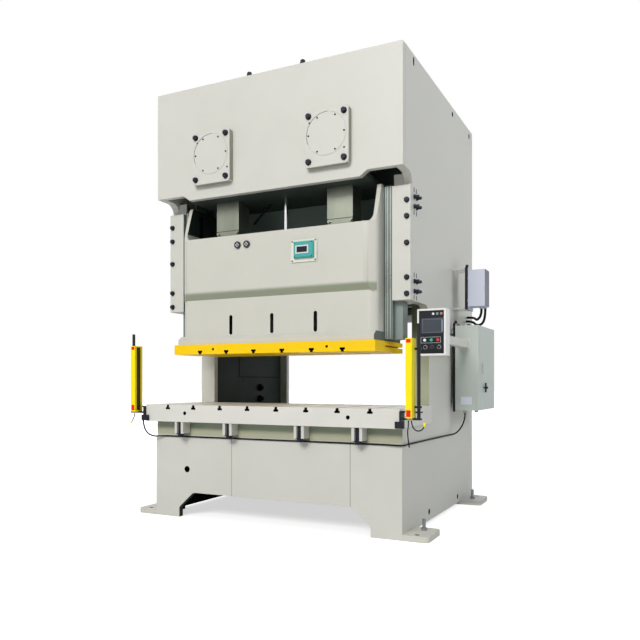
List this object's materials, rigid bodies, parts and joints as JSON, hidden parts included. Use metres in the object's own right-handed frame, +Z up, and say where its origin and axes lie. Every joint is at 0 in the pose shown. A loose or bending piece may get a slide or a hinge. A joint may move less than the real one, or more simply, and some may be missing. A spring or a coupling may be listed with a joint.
{
  "type": "mechanical stamping press",
  "caption": "Open-back gap-frame mechanical stamping press with a wide two-point slide, T-slotted bolster, guided plungers, control box, side cabinet and light curtain posts.",
  "frame": {"origin": "floor level at the centre of the four anchor holes in the foot plates", "axes": "+X to the operator's right, +Y to the rear, +Z up"},
  "size_m": [3.14, 2.652, 4.24],
  "materials": {
    "frame_paint": "satin",
    "slide_paint": "satin",
    "plate_yellow": "satin",
    "bolster_steel": "satin",
    "ground_steel": "ground",
    "dark_steel": "oiled",
    "bolt_black": "black oxide",
    "bronze": "machined",
    "cast_gear": "machined",
    "motor_paint": "satin",
    "belt_rubber": "matt",
    "cabinet_paint": "fine texture",
    "junction_paint": "fine texture",
    "control_paint": "satin",
    "chrome_rod": "polished",
    "counter_teal": "moulded",
    "plug_black": "moulded",
    "curtain_yellow": "satin",
    "bracket_black": "satin",
    "cable_black": "matt",
    "lamp_glass": "moulded",
    "button_white": "moulded",
    "button_green": "moulded",
    "button_red": "moulded",
    "selector_black": "moulded",
    "foot_paint": "satin"
  },
  "bodies": {
    "frame": {"left_side_frame": "frame_paint", "right_side_frame": "frame_paint", "crown_front_plate": "frame_paint", "crown_top_plate": "frame_paint", "crown_bottom_plate": "frame_paint", "crank_bearing_plate": "frame_paint", "gear_bearing_plate": "frame_paint", "crown_rear_plate": "frame_paint", "bed_front_plate": "frame_paint", "bed_box": "frame_paint", "hold_down_lugs": "frame_paint", "hold_down_bolts": "bolt_black", "foot_plates": "foot_paint", "levelling_screws": "ground_steel", "bolster_plate": "bolster_steel", "bearing_covers": "frame_paint", "bearing_caps": "frame_paint", "cover_bolts": "bolt_black", "lifting_studs": "bolt_black", "gib_plates": "frame_paint", "gib_liners": "bronze", "gib_bolts": "bolt_black", "motor": "motor_paint", "drive_belt": "belt_rubber", "cabinet_body": "cabinet_paint", "control_arm": "frame_paint", "control_box": "control_paint", "control_lamps": "lamp_glass", "junction_box": "junction_paint", "curtain_posts": "curtain_yellow", "curtain_mounts": "bracket_black", "front_cable": "cable_black", "curtain_leads": "cable_black", "box_hoses": "cable_black"},
    "slide": {"slide_body": "slide_paint", "slide_plate": "plate_yellow", "plungers": "ground_steel", "plunger_bolts": "ground_steel", "adjusting_rod": "chrome_rod", "stroke_counter": "counter_teal", "slide_plugs": "plug_black"},
    "left_crank": {"left_crankshaft": "dark_steel", "left_bull_gear": "cast_gear"},
    "right_crank": {"right_crankshaft": "dark_steel", "right_bull_gear": "cast_gear"},
    "left_block": {"left_drive_block": "bronze"},
    "right_block": {"right_drive_block": "bronze"},
    "pinion": {"pinion_shaft": "dark_steel", "clutch": "motor_paint"},
    "flywheel_body": {"flywheel": "cast_gear"},
    "pulley_body": {"motor_pulley": "cast_gear"},
    "cabinet_door_body": {"cabinet_door": "cabinet_paint"},
    "cabinet_latch_body": {"cabinet_latch": "bracket_black"},
    "junction_door_body": {"junction_door": "junction_paint"},
    "white_button_body": {"white_button": "button_white"},
    "green_button_body": {"green_button": "button_green"},
    "red_button_body": {"red_button": "button_red"},
    "left_selector_body": {"left_selector": "selector_black"},
    "middle_selector_body": {"middle_selector": "selector_black"},
    "right_selector_body": {"right_selector": "selector_black"}
  },
  "joints": [
    {"name": "slide_stroke", "type": "slide", "parent": "frame", "child": "slide", "axis": [0, 0, 1], "range_m": [0, 0.28]},
    {"name": "left_crank_turn", "type": "hinge", "parent": "frame", "child": "left_crank", "pos_m": [-0.608, -0.777, 3.49], "axis": [0, 1, 0], "range_deg": [0, 181]},
    {"name": "left_block_turn", "type": "hinge", "parent": "left_crank", "child": "left_block", "pos_m": [-0.608, -0.777, 3.35], "axis": [0, 1, 0], "range_deg": [-181, 0]},
    {"name": "right_crank_turn", "type": "hinge", "parent": "frame", "child": "right_crank", "pos_m": [0.608, -0.777, 3.49], "axis": [0, 1, 0], "range_deg": [0, 181]},
    {"name": "right_block_turn", "type": "hinge", "parent": "right_crank", "child": "right_block", "pos_m": [0.608, -0.777, 3.35], "axis": [0, 1, 0], "range_deg": [-181, 0]},
    {"name": "pinion_turn", "type": "hinge", "parent": "frame", "child": "pinion", "pos_m": [0, 0.415, 3.1572], "axis": [0, 1, 0], "range_deg": [-532, 0]},
    {"name": "flywheel_spin", "type": "hinge", "parent": "frame", "child": "flywheel_body", "pos_m": [0, 0.98, 3.1572], "axis": [0, 1, 0], "continuous": true},
    {"name": "pulley_spin", "type": "hinge", "parent": "frame", "child": "pulley_body", "pos_m": [0.45, 0.975, 2.3452], "axis": [0, 1, 0], "continuous": true},
    {"name": "cabinet_door_hinge", "type": "hinge", "parent": "frame", "child": "cabinet_door_body", "pos_m": [1.56, 1.169, 1.465], "axis": [0, 0, 1], "range_deg": [0, 110]},
    {"name": "cabinet_latch_turn", "type": "hinge", "parent": "cabinet_door_body", "child": "cabinet_latch_body", "pos_m": [1.577, 0.635, 1.262], "axis": [1, 0, 0], "range_deg": [0, 90]},
    {"name": "junction_door_hinge", "type": "hinge", "parent": "frame", "child": "junction_door_body", "pos_m": [1.444, 0.468, 2.291], "axis": [0, 0, -1], "range_deg": [0, 100]},
    {"name": "white_button_press", "type": "slide", "parent": "frame", "child": "white_button_body", "axis": [0, 1, 0], "range_m": [0, 0.006], "stiffness_N_per_m": 800, "springref_m": -0.001},
    {"name": "green_button_press", "type": "slide", "parent": "frame", "child": "green_button_body", "axis": [0, 1, 0], "range_m": [0, 0.006], "stiffness_N_per_m": 800, "springref_m": -0.001},
    {"name": "red_button_press", "type": "slide", "parent": "frame", "child": "red_button_body", "axis": [0, 1, 0], "range_m": [0, 0.006], "stiffness_N_per_m": 800, "springref_m": -0.001},
    {"name": "left_selector_turn", "type": "hinge", "parent": "frame", "child": "left_selector_body", "pos_m": [1.371, -0.741, 1.628], "axis": [0, 1, 0], "range_deg": [-45, 45]},
    {"name": "middle_selector_turn", "type": "hinge", "parent": "frame", "child": "middle_selector_body", "pos_m": [1.433, -0.741, 1.628], "axis": [0, 1, 0], "range_deg": [-45, 45]},
    {"name": "right_selector_turn", "type": "hinge", "parent": "frame", "child": "right_selector_body", "pos_m": [1.495, -0.741, 1.628], "axis": [0, 1, 0], "range_deg": [-45, 45]}
  ],
  "couplings": [
    {"joint": "left_crank_turn", "follows": "slide_stroke", "rad_per_m": 11.22},
    {"joint": "left_block_turn", "follows": "slide_stroke", "rad_per_m": -11.22},
    {"joint": "right_crank_turn", "follows": "slide_stroke", "rad_per_m": 11.22},
    {"joint": "right_block_turn", "follows": "slide_stroke", "rad_per_m": -11.22},
    {"joint": "pinion_turn", "follows": "slide_stroke", "rad_per_m": -32.959},
    {"joint": "pulley_spin", "follows": "flywheel_spin", "ratio": 5.0526}
  ]
}
